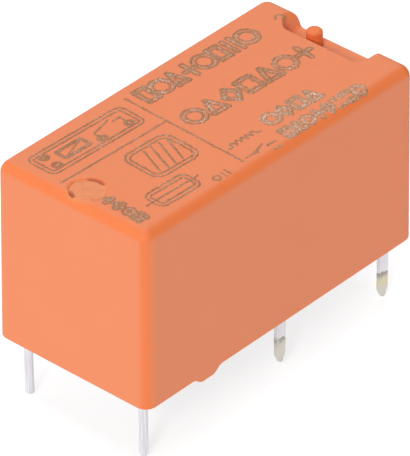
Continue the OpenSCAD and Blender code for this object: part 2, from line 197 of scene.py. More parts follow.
def tin_finish(name, streaks, warm, change_z):
    """Dull electroplated tin: drawn lines, fine grain, and low down a warm tint with grey smudges."""
    tin = Finish(name, {"Metallic": 0.8, "IOR": 1.5})
    drawn = tin.noise(0.1, 3.0, (1, 1, 0.05))
    grain = tin.noise(0.04)
    patch = tin.noise(0.45, 3.0)
    depth = change_z - tin.coordinate("Z") + patch * 0.9
    low = depth.ramp(0.35, 0.52)
    smudge = low * (1 - depth.ramp(0.5, 0.95)) * patch.ramp(0.3, 0.55)
    yellow = low * (1 - depth.ramp(1.1, 1.6)) * patch.ramp(0.4, 0.7)
    lines = drawn.ramp(0.35, 0.65) * streaks + (1 - streaks) * grain
    colour = tin.mix(lines, (0.66, 0.648, 0.685, 1), (0.88, 0.868, 0.905, 1))
    colour = tin.mix(low * 0.8, colour, (0.66, 0.64, 0.56, 1))
    colour = tin.mix(yellow * warm, colour, (0.76, 0.63, 0.36, 1))
    colour = tin.mix(smudge * 0.75, colour, (0.22, 0.22, 0.215, 1))
    return tin.shade({
        "Base Color": colour,
        "Roughness": 0.34 + drawn * 0.2 + patch * 0.1,
        "Normal": tin.bump(drawn * 0.7 + grain * 0.3, 0.006),
    })


wire_tin = tin_finish("tinned_wire", 0.75, 0, -9.0)


def coil_pin(node, point_r, point_h, flare, short, lean):
    """One pin: its point, how much it flares above the point, how much is cut off and how it leans."""
    low, high = box_mm(node)
    middle = (low + high) / 2
    length = high[2] - low[2] - short
    profile = [
        (0, 0), (point_r, 0), (point_r + pin_bevel, 0.01), (pin_r + flare - pin_bevel, point_h),
        (pin_r + flare, point_h + 0.05), (pin_r, flare_top), (pin_r, length - 2 * pin_bevel),
        (pin_r - 2 * pin_bevel, length), (0, length)
    ]

    def place(corners):
        corners[:, 2] += low[2] + short
        hang = np.minimum(corners[:, 2], 0)
        corners[:, :2] += middle[:2] - np.outer(hang, lean)
        return corners

    stand_in(turned(node + "_wire", profile, pin_sides, place, wire_tin), node)


coil_pin("coil_pin_right", point_r=0.09, point_h=0.32, flare=0.012, short=0, lean=(0, 0))
coil_pin("coil_pin_left", point_r=0.205, point_h=0.02, flare=0, short=0.15, lean=(0.008, -0.015))

# Bobbin
# The spool of the coil, moulded in cream polyester: a square tube between two flanges, and at the near end
# the foot that grips both coil pins. The wire is wound on it before anything else is fitted.
bobbin_low, bobbin_high = box_mm("bobbin")
core_low, core_high = box_mm("core")
winding_low, winding_high = box_mm("coil_winding")
pins_at = [sum(box_mm(node)) / 2 for node in ("coil_pin_left", "coil_pin_right")]
coil_at = (core_low + core_high) / 2
flange_t = 0.5
flange_half = 2.45
flange_edge = 0.12
tube_wall = 0.35
tube_edge = 0.25
tube_half = (core_high - core_low) / 2 + tube_wall
tube_low, tube_high = coil_at - tube_half, coil_at + tube_half
foot_top = bobbin_low[2] + 1.25
saddle_h = 0.9
saddle_half = 2
far_off = 20


def both(a, b, r):
    """Distance to what lies in both shapes, with the edge between them rounded to radius r."""
    return np.minimum(-r, np.maximum(a, b)) + np.hypot(np.maximum(a + r, 0), np.maximum(b + r, 0))


def joined(a, b, r):
    """Distance to two shapes run together, with a fillet of radius r between them."""
    return -both(-a, -b, r)


def less(a, b, r):
    """Distance to the first shape with the second cut away."""
    return both(a, -b, r)


def block(x, y, z, low, high, r):
    """Distance to the block between two corners, with all its edges rounded to radius r."""
    q = [np.abs(v - (a + b) / 2) - (b - a) / 2 + r for v, a, b in zip((x, y, z), low, high)]
    outside = np.sqrt(sum(np.maximum(v, 0) ** 2 for v in q))
    return outside + np.minimum(np.maximum(np.maximum(q[0], q[1]), q[2]), 0) - r


def slab(x, y, z, x_range, y_range, z_range, r):
    """Distance to a block given by its three ranges."""
    return block(x, y, z, *zip(x_range, y_range, z_range), r)


def rod(a, b, radius):
    """Distance to an endless round rod; a and b are the distances from its axis in two directions."""
    return np.hypot(a, b) - radius


def span(middle, half):
    """The range that reaches half to both sides of the middle."""
    return middle - half, middle + half


def grid_lines(planes, reach, fine, coarse):
    """Grid lines past the outermost planes, fine within reach of each plane and coarse between them."""
    lines = [min(planes) - reach]
    while lines[-1] < max(planes) + reach:
        gap = min(max(abs(lines[-1] + fine / 2 - plane) - reach, 0) for plane in planes)
        lines.append(lines[-1] + min(max(fine, gap / 2), coarse))
    return np.array(lines)


draws = 4
tiny = 0.002
least_slope = 0.3


def moulded(name, distance, planes, finish, reach, fine, coarse):
    """A piece over the surface where distance() is 0, with one corner in each grid cell that it crosses."""
    grid = [grid_lines(along, reach, fine, coarse) for along in planes]
    value = distance(*np.meshgrid(*grid, indexing="ij"))
    cells = tuple(n - 1 for n in value.shape)
    total = np.zeros(cells + (3,))
    count = np.zeros(cells)
    rings = []
    for a in range(3):
        b, c = (a + 1) % 3, (a + 2) % 3
        low = np.moveaxis(np.moveaxis(value, a, 0)[:-1], 0, a)
        high = np.moveaxis(np.moveaxis(value, a, 0)[1:], 0, a)
        at = np.argwhere((low < 0) != (high < 0))
        start, end = low[tuple(at.T)], high[tuple(at.T)]
        point = np.stack([grid[d][at[:, d]] for d in range(3)], 1)
        point[:, a] += start / (start - end) * (grid[a][at[:, a] + 1] - grid[a][at[:, a]])
        around = []
        for step_b, step_c in ((0, 0), (-1, 0), (-1, -1), (0, -1)):
            cell = at.copy()
            cell[:, b] += step_b
            cell[:, c] += step_c
            around.append(cell)
            np.add.at(total, tuple(cell.T), point)
            np.add.at(count, tuple(cell.T), 1)
        around = np.stack(around, 1)
        around[start >= 0] = around[start >= 0][:, ::-1]
        rings.append(around)
    used = count > 0
    number = np.cumsum(used).reshape(cells) - 1
    corners = total[used] / count[used][:, None]
    faces = np.concatenate([number[tuple(ring.reshape(-1, 3).T)].reshape(-1, 4) for ring in rings])
    for _ in range(draws):
        slope = np.stack([
            (distance(*(corners + tiny * step).T) - distance(*(corners - tiny * step).T)) / (2 * tiny)
            for step in np.eye(3)
        ], 1)
        corners -= slope * (distance(*corners.T) / np.maximum((slope ** 2).sum(1), least_slope))[:, None]
    piece = mesh_piece(name, corners, faces.tolist(), finish)
    piece.data.normals_split_custom_set_from_vertices(slope.tolist())
    return piece


def plastic_finish(name, colour, deep, rough, speck):
    """Moulded plastic: a fine grain, cloudy colour, and short glass fibres that just show."""
    plastic = Finish(name, {"IOR": 1.5})
    grain = plastic.noise(0.05, 3.0)
    cloud = plastic.noise(1.2)
    fibre = plastic.noise(0.12, 1.0, (0.25, 1, 1)).ramp(0.62, 0.75)
    mixed = plastic.mix(cloud.ramp(0.3, 0.7), colour, deep)
    return plastic.shade({
        "Base Color": plastic.mix(fibre * speck, mixed, (0.9, 0.87, 0.8, 1)),
        "Roughness": rough + grain * 0.15,
        "Normal": plastic.bump(grain + fibre * 0.3, 0.005),
    })


cream = plastic_finish("cream_plastic", (0.74, 0.67, 0.50, 1), (0.68, 0.60, 0.43, 1), 0.38, 0.1)


def bore_pins(body, x, y, gap):
    """Distance to the body with the holes of the coil pins cut away."""
    for at in pins_at:
        body = less(body, rod(x - at[0], y - at[1], pin_r + gap), 0.03)
    return body


def bobbin_distance(x, y, z):
    tube_x = (winding_low[0] - flange_t, winding_high[0] + flange_t)
    spool = slab(x, y, z, tube_x, *zip(tube_low[1:], tube_high[1:]), tube_edge)
    for start in (winding_low[0] - flange_t, winding_high[0]):
        flange = slab(x, y, z, (start, start + flange_t), span(coil_at[1], flange_half),
                      (bobbin_low[2], bobbin_high[2]), flange_edge)
        spool = joined(spool, flange, 0.1)
    foot = block(x, y, z, bobbin_low, (winding_low[0], bobbin_high[1], foot_top), 0.15)
    saddle = slab(x, y, z, (winding_high[0], bobbin_high[0]), span(coil_at[1], saddle_half),
                  (bobbin_low[2], bobbin_low[2] + saddle_h), flange_edge)
    spool = joined(joined(spool, foot, 0.12), saddle, 0.12)
    bore = block(x, y, z, core_low + (-5, 0, 0), core_high + (5, 0, 0), 0.03)
    return bore_pins(less(spool, bore, 0.04), x, y, 0.01)


bobbin = moulded("bobbin_moulding", bobbin_distance, (
    [bobbin_low[0], 0, winding_low[0] - flange_t, winding_low[0],
     winding_high[0], winding_high[0] + flange_t, bobbin_high[0]],
    [bobbin_low[1], pins_at[1][1], *span(coil_at[1], flange_half), tube_low[1], tube_high[1],
     pins_at[0][1], bobbin_high[1]],
    [bobbin_low[2], foot_top, tube_low[2], tube_high[2], bobbin_high[2]],
), cream, reach=0.3, fine=0.08, coarse=0.8)
stand_in(bobbin, "bobbin")

# Core and end plates
# The fixed magnet iron, stamped from soft iron and nickel plated. The flat core goes through the bobbin and
# is staked into a plate at each end: the near one is the heel, which the armature rocks on, the far the pole.
plate_t = 1.0
plate_edge = 0.07
plate_chamfer = 0.3
tenon_y = span(coil_at[1], 0.5)
tenon_z = span(coil_at[2], 1)


def plated_iron():
    """Nickel plate on tumbled iron: a soft even shine, fine scratches every way and dull spots."""
    plate = Finish("nickelled_iron", {"Metallic": 1.0})
    scratch = plate.noise(0.03, 2.0, (0.15, 1, 1)) * 0.5 + plate.noise(0.03, 2.0, (1, 1, 0.15)) * 0.5
    dull = plate.noise(0.6, 4.0)
    return plate.shade({
        "Base Color": plate.mix(dull.ramp(0.35, 0.7), (0.62, 0.60, 0.56, 1), (0.50, 0.485, 0.46, 1)),
        "Roughness": 0.24 + scratch * 0.16 + dull.ramp(0.5, 0.7) * 0.12,
        "Normal": plate.bump(scratch, 0.004),
    })


iron = plated_iron()


def core_distance(x, y, z):
    bar = block(x, y, z, core_low + (plate_t, 0, 0), core_high - (plate_t, 0, 0), plate_edge)
    tenon = slab(x, y, z, (core_low[0], core_high[0]), tenon_y, tenon_z, plate_edge)
    return joined(bar, tenon, 0.03)


core = moulded("core_bar", core_distance, (
    [core_low[0], core_low[0] + plate_t, core_high[0] - plate_t, core_high[0]],
    [core_low[1], *tenon_y, core_high[1]],
    [core_low[2], *tenon_z, core_high[2]],
), iron, reach=0.1, fine=0.04, coarse=0.6)
stand_in(core, "core")


def end_plate(name, node):
    """A plate with its lower edges chamfered on one side and a window for the core's tenon."""
    low, high = box_mm(node)

    def distance(x, y, z):
        plate = block(x, y, z, low, high, plate_edge)
        half_h = (high[2] - low[2]) / 2
        chamfer = ((low[1] - y) + np.abs(z - coil_at[2]) - half_h + plate_chamfer) / math.sqrt(2)
        window = slab(x, y, z, (low[0] - 1, high[0] + 1), tenon_y, tenon_z, 0.02)
        return less(both(plate, chamfer, 0.1), window, 0.03)

    plate = moulded(name, distance, (
        [low[0], high[0]],
        [low[1], low[1] + plate_chamfer, *tenon_y, high[1]],
        [low[2], low[2] + plate_chamfer, *tenon_z, high[2] - plate_chamfer, high[2]],
    ), iron, reach=0.15, fine=0.04, coarse=0.4)
    stand_in(plate, node)


end_plate("heel_plate", "heel_yoke")
end_plate("pole_plate", "pole_piece")

# Winding
# Some thousands of turns of enamelled copper wire. The outer layer is wound turn by turn round the sleeve of
# the layers under it, its two ends are led round the near flange and wrapped on the posts of the coil pins.


class Recipe(Graph):
    """A Geometry Nodes tree with named inputs, which is run once on a piece and leaves a plain mesh."""

    def __init__(self, name, inputs):
        super().__init__(bpy.data.node_groups.new(name, "GeometryNodeTree"), "GeometryNode")
        self.tree.is_modifier = True
        sockets = self.tree.interface
        sockets.new_socket("Geometry", in_out="INPUT", socket_type="NodeSocketGeometry")
        sockets.new_socket("Geometry", in_out="OUTPUT", socket_type="NodeSocketGeometry")
        self.keys = {}
        for label, kind in {**inputs, "Finish": "Material"}.items():
            made = sockets.new_socket(label, in_out="INPUT", socket_type="NodeSocket" + kind)
            self.keys[label] = made.identifier
        self.inputs = self.tree.nodes.new("NodeGroupInput").outputs

    def __getitem__(self, label):
        """The named input of that label."""
        return Socket(self, self.inputs[label])

    def end(self, shape):
        """Makes every instance real and gives the whole shape its finish."""
        real = self.node("RealizeInstances", {}, {0: shape})
        done = self.node("SetMaterial", {}, {"Geometry": real, "Material": self["Finish"]})
        self.feed(self.tree.nodes.new("NodeGroupOutput"), {0: done})

    def run(self, piece, values):
        """Runs the tree on the piece with these values for its inputs, and keeps the plain mesh."""
        modifier = piece.modifiers.new(self.tree.name, "NODES")
        modifier.node_group = self.tree
        for label, value in values.items():
            modifier[self.keys[label]] = value
        graph = bpy.context.evaluated_depsgraph_get()
        piece.data = bpy.data.meshes.new_from_object(piece.evaluated_get(graph), depsgraph=graph)
        piece.modifiers.remove(modifier)
        piece.data.shade_smooth()


def copper_finish():
    """Enamelled copper: warm metal under a clear brown-red lacquer, with turns that vary a little."""
    wire = Finish("enamelled_copper", {"Metallic": 0.9, "Coat Roughness": 0.15})
    turn = wire.noise(0.12, 1.0, (1, 0.1, 0.1))
    return wire.shade({
        "Base Color": wire.mix(turn.ramp(0.3, 0.7), (0.62, 0.24, 0.10, 1), (0.74, 0.33, 0.15, 1)),
        "Roughness": 0.26 + turn * 0.1,
        "Coat Weight": 0.5 + turn * 0.3,
    })


copper = copper_finish()
wire_r = 0.05
wire_pitch = 0.105
sleeve_gap = 0.03
winding_half = (winding_high - winding_low) / 2
winding_corner = 0.9


def sleeve_distance(x, y, z):
    """The layers under the outer one: a sleeve round the tube of the bobbin."""
    shrink = 2 * wire_r - sleeve_gap
    inset = (sleeve_gap, shrink, shrink)
    outer = block(x, y, z, winding_low + inset, winding_high - inset, 0.02)
    corner = winding_corner - shrink
    flats = zip((y, z), coil_at[1:], winding_half[1:])
    bend = [np.maximum(np.abs(v - middle) - (half - shrink) + corner, 0) for v, middle, half in flats]
    outer = both(outer, np.hypot(*bend) - corner, 0.02)
    tube_x = (winding_low[0] - 1, winding_high[0] + 1)
    return less(outer, slab(x, y, z, tube_x, *zip(tube_low[1:], tube_high[1:]), tube_edge), 0.02)


levels = zip(winding_low[1:], tube_low[1:], tube_high[1:], winding_high[1:])
winding = moulded("winding", sleeve_distance, (
    [winding_low[0], winding_high[0]],
    *([low, low + 0.5, tube_start, tube_end, high - 0.5, high] for low, tube_start, tube_end, high in levels),
), copper, reach=0.2, fine=0.08, coarse=0.8)
turns = Recipe("turns_of_wire", {
    "Turns": "Int", "Pitch": "Float", "Wire radius": "Float", "Width": "Float", "Height": "Float",
    "Corner radius": "Float", "First turn": "Vector"
})
path = turns.node("CurvePrimitiveQuadrilateral", {}, {"Width": turns["Height"], "Height": turns["Width"]})
path = turns.node("FilletCurve", {"mode": "POLY"}, {
    "Curve": path, "Count": 7, "Radius": turns["Corner radius"]
})
path = turns.node("Transform", {}, {"Geometry": path, "Rotation": (0, math.pi / 2, 0)})
section = turns.node("CurvePrimitiveCircle", {}, {"Resolution": 8, "Radius": turns["Wire radius"]})
one_turn = turns.node("CurveToMesh", {}, {"Curve": path, "Profile Curve": section})
step = turns.node("ShaderNodeCombineXYZ", {}, {"X": turns["Pitch"]})
row = turns.node("MeshLine", {}, {
    "Count": turns["Turns"], "Start Location": turns["First turn"], "Offset": step
})
layer = turns.node("InstanceOnPoints", {}, {"Points": row, "Instance": one_turn})
turns.end(turns.node("JoinGeometry", {}, {0: [turns["Geometry"], layer]}))
turn_count = int((winding_high[0] - winding_low[0]) / wire_pitch)
first_x = (winding_low[0] + winding_high[0]) / 2 - (turn_count - 1) / 2 * wire_pitch
turns.run(winding, {
    "Turns": turn_count, "Pitch": wire_pitch * MM, "Wire radius": wire_r * MM,
    "Width": 2 * (winding_half[1] - wire_r) * MM, "Height": 2 * (winding_half[2] - wire_r) * MM,
    "Corner radius": (winding_corner - wire_r) * MM,
    "First turn": (first_x * MM, coil_at[1] * MM, coil_at[2] * MM), "Finish": copper
})
stand_in(winding, "coil_winding")

along_wire = Recipe("lead_of_the_coil", {"Wire radius": "Float"})
path = along_wire.node("MeshToCurve", {}, {"Mesh": along_wire["Geometry"]})
path = along_wire.node("CurveSplineType", {"spline_type": "CATMULL_ROM"}, {"Curve": path})
section = along_wire.node("CurvePrimitiveCircle", {}, {"Resolution": 12, "Radius": along_wire["Wire radius"]})
wire = along_wire.node("CurveToMesh", {}, {"Curve": path, "Profile Curve": section, "Fill Caps": True})
along_wire.end(wire)


def line_piece(name, lines):
    """A piece of bare lines in millimetres, for a recipe to run along."""
    corners = []
    edges = []
    for line in lines:
        edges += [(len(corners) + k, len(corners) + k + 1) for k in range(len(line) - 1)]
        corners += list(line)
    mesh = bpy.data.meshes.new(name)
    mesh.from_pydata((np.array(corners) * MM).tolist(), edges, [])
    return added(name, mesh)


def lead(name, node, side, pin):
    """One end of the wire, from the corner of the winding round the flange and twice round the post."""
    wrap_r = pin_r + wire_r + 0.01
    wrap_z = foot_top + 0.15
    flange_y = coil_at[1] + side * (flange_half + 0.12)
    wall_y = coil_at[1] + side * (winding_half[1] + wire_r)
    near_x = winding_low[0] - flange_t
    points = [
        (winding_low[0] + 0.08, wall_y, wrap_z + 0.7),
        (winding_low[0] + 0.04, (wall_y + flange_y) / 2, wrap_z + 0.55),
        (winding_low[0] - 0.15, flange_y, wrap_z + 0.4),
        (near_x - 0.1, flange_y + side * 0.04, wrap_z + 0.2),
        ((near_x + pin[0] + wrap_r) / 2, (flange_y + pin[1]) / 2, wrap_z + 0.08),
    ]
    steps = 16
    for i in range(2 * steps + 1):
        turn = -side * (2 * math.pi * i / steps + math.pi / 2)
        points.append((pin[0] + wrap_r * math.cos(turn), pin[1] + wrap_r * math.sin(turn),
                       wrap_z + (2 * wire_r + 0.02) * i / steps))
    wire = line_piece(name, [points])
    along_wire.run(wire, {"Wire radius": wire_r * MM, "Finish": copper})
    stand_in(wire, node)


lead("lead_right", "lead_wire_right", -1, pins_at[1])
lead("lead_left", "lead_wire_left", 1, pins_at[0])

# Tape
# Amber polyester film, wound once round the coil and stuck down. Its two ends lap over each other between
# the middle of the top and the middle of the contact side.
tape_low, tape_high = box_mm("coil_tape")
film_t = 0.03
film_edge = 0.02
bend_steps = 12


def film_finish():
    """Thin amber film over wire: glossy, with the turns below telegraphing through."""
    film = Finish("amber_film", {"IOR": 1.6, "Coat Roughness": 0.08})
    rib = film.noise(wire_pitch, 1.0, (1, 0.05, 0.05))
    air = film.noise(0.9, 3.0).ramp(0.55, 0.7)
    return film.shade({
        "Base Color": film.mix(rib, (0.52, 0.22, 0.035, 1), (0.66, 0.33, 0.06, 1)),
        "Roughness": 0.22 + air * 0.15,
        "Coat Weight": 0.6 - air * 0.3,
        "Normal": film.bump(rib + air * 0.5, 0.012),
    })


def film_stations():
    """Places round the coil, each with its middle of bend, its way out and the layers of film there."""
    flat_y, flat_z = winding_half[1:] - winding_corner
    stations = []
    for quarter, (side_y, side_z) in enumerate(((1, 1), (-1, 1), (-1, -1), (1, -1))):
        lapped = quarter == 1
        if lapped:
            stations += [(film_edge, flat_z, math.pi / 2, 1), (-film_edge, flat_z, math.pi / 2, 2)]
        for k in range(bend_steps + 1):
            turn = math.pi / 2 * (quarter + k / bend_steps)
            stations.append((side_y * flat_y, side_z * flat_z, turn, 2 if lapped else 1))
        if lapped:
            stations += [(-flat_y, film_edge, math.pi, 2), (-flat_y, -film_edge, math.pi, 1)]
    return stations


film_x = [tape_low[0], tape_low[0] + film_edge, tape_high[0] - film_edge, tape_high[0]]
film_ring = [(x, 0) for x in film_x] + [(x, 1) for x in reversed(film_x)]
film_corners = []
for y, z, turn, layers in film_stations():
    for x, depth in film_ring:
        out = winding_corner + depth * layers * film_t
        film_corners.append((x, coil_at[1] + y + out * math.cos(turn), coil_at[2] + z + out * math.sin(turn)))
film_faces = []
around_film = len(film_ring)
for i in range(0, len(film_corners), around_film):
    n = (i + around_film) % len(film_corners)
    for k in range(around_film):
        m = (k + 1) % around_film
        film_faces.append((i + k, i + m, n + m, n + k))
tape = mesh_piece("winding_tape", film_corners, film_faces, film_finish())
stand_in(tape, "coil_tape")

# Base
# Black glass-filled moulding that closes the relay from below. It carries the bobbin, the sockets that the
# terminals are pressed into, the wall between coil and contacts, and the ribs that guide the card.
base_low, base_high = box_mm("base")
cover_low, cover_high = box_mm("cover")
mid = (cover_low + cover_high) / 2
grid_pitch = 2.54
common_x = 4 * grid_pitch
fixed_x = 7 * grid_pitch
sheet_t = 0.25
sheet_y = sheet_t / 2
floor_z = 1.9
socket_top = floor_z + 1.7
socket_z = (base_low[2] + 0.1, socket_top)
socket_y = (cover_low[1] + 0.65, sheet_y + 0.7)
sockets = [span(common_x, 1.8), (fixed_x - 2.9, fixed_x + 0.5)]
slots = [span(common_x, 1.21), (fixed_x - 1.5, fixed_x + 0.43)]
wall_low = (winding_low[0] + 0.6, coil_at[1] - flange_half - 0.4, base_low[2])
wall_high = (core_high[0] + 0.4, coil_at[1] - flange_half - 0.05, base_high[2])
rib_t = 0.45
rib_y = (mid[1] - 1.4, mid[1] + 3.2)
ribs = [(mid[0] + at, mid[0] + at + rib_t) for at in (6.2, 7.95)]


def smooth(value, low, high):
    """Smooth step from 0 where the value is low to 1 where it is high."""
    part = np.clip((value - low) / (high - low), 0, 1)
    return part * part * (3 - 2 * part)


def base_distance(x, y, z):
    body = slab(x, y, z, *zip(base_low, (*base_high[:2], floor_z)), 0.1)
    for socket_x in sockets:
        body = joined(body, slab(x, y, z, socket_x, socket_y, socket_z, 0.1), 0.1)
    body = joined(body, block(x, y, z, wall_low, wall_high, 0.1), 0.15)
    for rib_x in ribs:
        body = joined(body, slab(x, y, z, rib_x, rib_y, socket_z, 0.1), 0.1)
    for slot_x in slots:
        slot = slab(x, y, z, slot_x, span(0, sheet_y + 0.01), (base_low[2] - 1, socket_top + 1), 0.01)
        body = less(body, slot, 0.04)
    return bore_pins(body, x, y, 0.03)


black = plastic_finish("black_plastic", (0.028, 0.028, 0.030, 1), (0.020, 0.020, 0.021, 1), 0.4, 0.06)
base = moulded("base_moulding", base_distance, (
    [base_low[0], 0, wall_low[0], *sum(sockets + ribs, ()), base_high[0]],
    [base_low[1], *socket_y, *span(0, sheet_y), wall_low[1], wall_high[1], rib_y[1], base_high[1]],
    [base_low[2], floor_z, socket_top, base_high[2]],
), black, reach=0.25, fine=0.08, coarse=0.8)
stand_in(base, "base")

# Terminals
# Both contact terminals are stamped from tinned copper sheet and pressed into the base. Below the body each
# is a blade with a rounded point; above, one carries the contact spring and the other the fixed contact.
blade_w = 0.64
blade_end = box_mm("common_terminal")[0][2]
point_taper = 0.5
point_r = 0.17
shoulder_z = 1.4
plate_top = coil_at[2] + 1.8
plate_low = coil_at[2] - 1.6
plate_end = fixed_x + 0.42
stake_r = 0.3
stake_z = span(coil_at[2], 1)
spring_t = 0.1
contact_x = mid[0] + 7.3
shank_r = 0.4
stake_h = 0.15


def flat(x, z, x_range, z_range, r):
    """Distance to a rectangle with rounded corners."""
    a = np.abs(x - sum(x_range) / 2) - (x_range[1] - x_range[0]) / 2 + r
    b = np.abs(z - sum(z_range) / 2) - (z_range[1] - z_range[0]) / 2 + r
    return np.hypot(np.maximum(a, 0), np.maximum(b, 0)) + np.minimum(np.maximum(a, b), 0) - r


def blade(x, z, at, bent, short):
    """Distance to the outline of a contact pin, bent and cut a little short, tapered to a round end."""
    x = x + bent * smooth(-z, -0.6, 0.3)
    z = z - short * smooth(-z, 0, 2)
    half_w = blade_w / 2
    body = flat(x, z, span(at, half_w), (blade_end, shoulder_z + 0.2), 0.02)
    lean = math.atan2(half_w - point_r, point_taper - point_r)
    side = (np.abs(x - at) - half_w) * math.cos(lean) - (z - blade_end - point_taper) * math.sin(lean)
    tip = np.maximum(np.hypot(x - at, z - blade_end - point_r) - point_r, -(blade_end + point_r - z))
    pointed = both(body, side, 0.04)
    return np.where(z < blade_end + point_r, np.maximum(pointed, tip), pointed)


def sheet_metal(outline, y):
    """Distance to flat sheet with that outline, its edges rolled over by the stamping."""
    return both(outline, np.abs(y) - sheet_y, 0.035)


def common_distance(x, y, z):
    pin = blade(x, z, common_x, bent=0.09, short=0.17)
    body = sheet_metal(np.minimum(pin, flat(x, z, span(common_x, 1.2), (shoulder_z, plate_top), 0.08)), y)
    for height in stake_z:
        stake = both(rod(x - common_x, z - height, stake_r), y - sheet_y - spring_t - stake_h, 0.06)
        body = joined(body, both(stake, -y, 0.01), 0.02)
    return body


def fixed_distance(x, y, z):
    pin = blade(x, z, fixed_x, bent=-0.15, short=-0.04)
    neck = flat(x, z, (fixed_x - 0.9, plate_end), (shoulder_z, plate_top), 0.06)
    plate = flat(x, z, (contact_x - 1.4, plate_end), (plate_low, plate_top), 0.08)
    body = sheet_metal(joined(np.minimum(pin, neck), plate, 0.2), y)
    return less(body, rod(x - contact_x, z - coil_at[2], shank_r), 0.02)


def terminal(name, node, distance, planes, warm, change_z):
    """One terminal; its pin has a warm tint of that strength from the height change_z down."""
    sheet = moulded(name, distance, (
        planes,
        [-sheet_y, sheet_y, sheet_y + spring_t + stake_h],
        [blade_end, blade_end + 0.25, blade_end + point_taper, shoulder_z, *stake_z, plate_low, plate_top],
    ), tin_finish(name + "_tin", 0.3, warm, change_z), reach=0.12, fine=0.035, coarse=0.5)
    stand_in(sheet, node)


terminal("common_sheet", "common_terminal", common_distance, [
    *span(common_x, 1.2), *span(common_x, blade_w / 2)
], warm=0.3, change_z=-1.62)
terminal("fixed_sheet", "fixed_terminal", fixed_distance, [
    contact_x - 1.4, fixed_x - 0.9, fixed_x - blade_w / 2, plate_end
], warm=1.0, change_z=-1.75)

# Contacts
# The contact spring is a leaf of phosphor bronze, riveted on two stakes of its terminal. It and the fixed
# terminal each carry a rivet of silver alloy with a domed head; the moving one is pressed on by the card.


def leaf_finish():
    """Rolled phosphor bronze: warm, with fine lines along the strip and a faint brown stain."""
    leaf = Finish("rolled_bronze", {"Metallic": 1.0})
    rolled = leaf.noise(0.03, 2.0, (0.04, 1, 1))
    stain = leaf.noise(1.1, 3.0)
    return leaf.shade({
        "Base Color": leaf.mix(stain.ramp(0.45, 0.75), (0.72, 0.46, 0.24, 1), (0.55, 0.31, 0.15, 1)),
        "Roughness": 0.22 + rolled * 0.18,
        "Normal": leaf.bump(rolled, 0.003),
    })


def silver_finish():
    """Silver alloy: bright, finely grained, with a thin yellow tarnish."""
    silver = Finish("contact_silver", {"Metallic": 1.0})
    grain = silver.noise(0.03)
    tarnish = silver.noise(0.5, 3.0)
    return silver.shade({
        "Base Color": silver.mix(tarnish.ramp(0.45, 0.7), (0.90, 0.89, 0.87, 1), (0.78, 0.72, 0.60, 1)),
        "Roughness": 0.18 + grain * 0.16 + tarnish.ramp(0.5, 0.75) * 0.1,
        "Normal": silver.bump(grain, 0.003),
    })


bronze = leaf_finish()
bright = silver_finish()
rivet_sides = 64
dome = 0.08
dome_steps = 8


def bronze_leaf(node):
    """A CAD node that is shown as it is: the bronze takes the place of its plain finish."""
    piece = bpy.data.objects[node]
    piece.data.materials.clear()
    piece.data.materials.append(bronze)


bronze_leaf("contact_spring")


def rivet(name, node, body, head_r, head_t, sheet_depth, rear_r, way):
    """A rivet along Y: domed head, shank through the sheet, and the flat head that clinches it."""
    low, high = box_mm(node)
    face_y = low[1] + head_t if way > 0 else high[1] - head_t
    rear = high[1] - low[1] - head_t
    profile = [(0, -head_t)]
    for k in range(1, dome_steps + 1):
        r = (head_r - 0.05) * k / dome_steps
        profile.append((r, -head_t + dome * (r / head_r) ** 2))
    profile += [
        (head_r - 0.012, -head_t + dome + 0.02), (head_r, -head_t + dome + 0.06), (head_r, -0.04),
        (head_r - 0.04, 0), (shank_r + 0.01, 0), (shank_r, 0.01), (shank_r, sheet_depth - 0.01),
        (shank_r + 0.01, sheet_depth), (rear_r - 0.03, sheet_depth), (rear_r, sheet_depth + 0.04),
        (rear_r - 0.06, rear), (0, rear)
    ]

    def place(corners):
        across, along, up = corners.T
        return np.stack([across + contact_x, up * way + face_y, coil_at[2] - along * way], 1)

    stand_in(turned(name, profile, rivet_sides, place, bright), node, body)


rivet("moving_rivet", "moving_contact", "contact_arm",
      head_r=1.0, head_t=0.35, sheet_depth=spring_t, rear_r=0.65, way=1)
rivet("fixed_rivet", "fixed_contact", "housing",
      head_r=1.1, head_t=0.38, sheet_depth=sheet_t, rear_r=0.75, way=-1)

# Armature
# The rocking plate of the magnet, soft iron again. It tips on the outer edge of the heel plate. A leaf spring
# bent round the heel and staked there holds it open. Its tongue pushes the card when the coil draws it in.
heel_at = (core_low[0], mid[1] + 3.15)
open_turn = math.radians(1.674)
armature_l = 14.25
armature_t = 0.6
armature_top = box_mm("armature")[1][1]
tongue_l = 1.65
notch_l = 0.5
plate_gap = 0.012
plate_tail = 1.8
tongue_half = 0.55
notch_half = 0.9
stakes_along = (2.4, 3.8)


def flat_on(x, y):
    """Turns a place in the relay's frame into one along and across the armature."""
    a, b = x - heel_at[0], y - heel_at[1]
    cos, sin = math.cos(open_turn), math.sin(open_turn)
    return a * cos + b * sin, b * cos - a * sin


def armature_distance(x, y, z):
    along, across = flat_on(x, y)
    plate = flat(along, z, (0, armature_l), (coil_at[2] - plate_tail, plate_top), 0.25)
    tongue = flat(along, z, (armature_l - 1, armature_l + tongue_l), span(coil_at[2], tongue_half), 0.15)
    notch = flat(along, z, (-1, notch_l), span(coil_at[2], notch_half), 0.12)
    outline = less(joined(plate, tongue, 0.2), notch, 0.05)
    body = both(outline, np.abs(across - (armature_t + plate_gap) / 2) - (armature_t - plate_gap) / 2, 0.06)
    for at in stakes_along:
        stake = both(rod(along - at, z - coil_at[2], stake_r), across - armature_t - 0.2, 0.07)
        body = joined(body, both(stake, armature_t / 2 - across, 0.01), 0.02)
    return body


armature = moulded("armature_plate", armature_distance, (
    [heel_at[0] + at for at in (0, notch_l, *stakes_along, armature_l, armature_l + tongue_l)],
    [heel_at[1], heel_at[1] + 0.3, armature_top - 0.4, armature_top],
    [coil_at[2] - plate_tail, *span(coil_at[2], 0.7), plate_top],
), iron, reach=0.35, fine=0.05, coarse=0.3)
stand_in(armature, "armature", "armature")
bronze_leaf("return_spring")

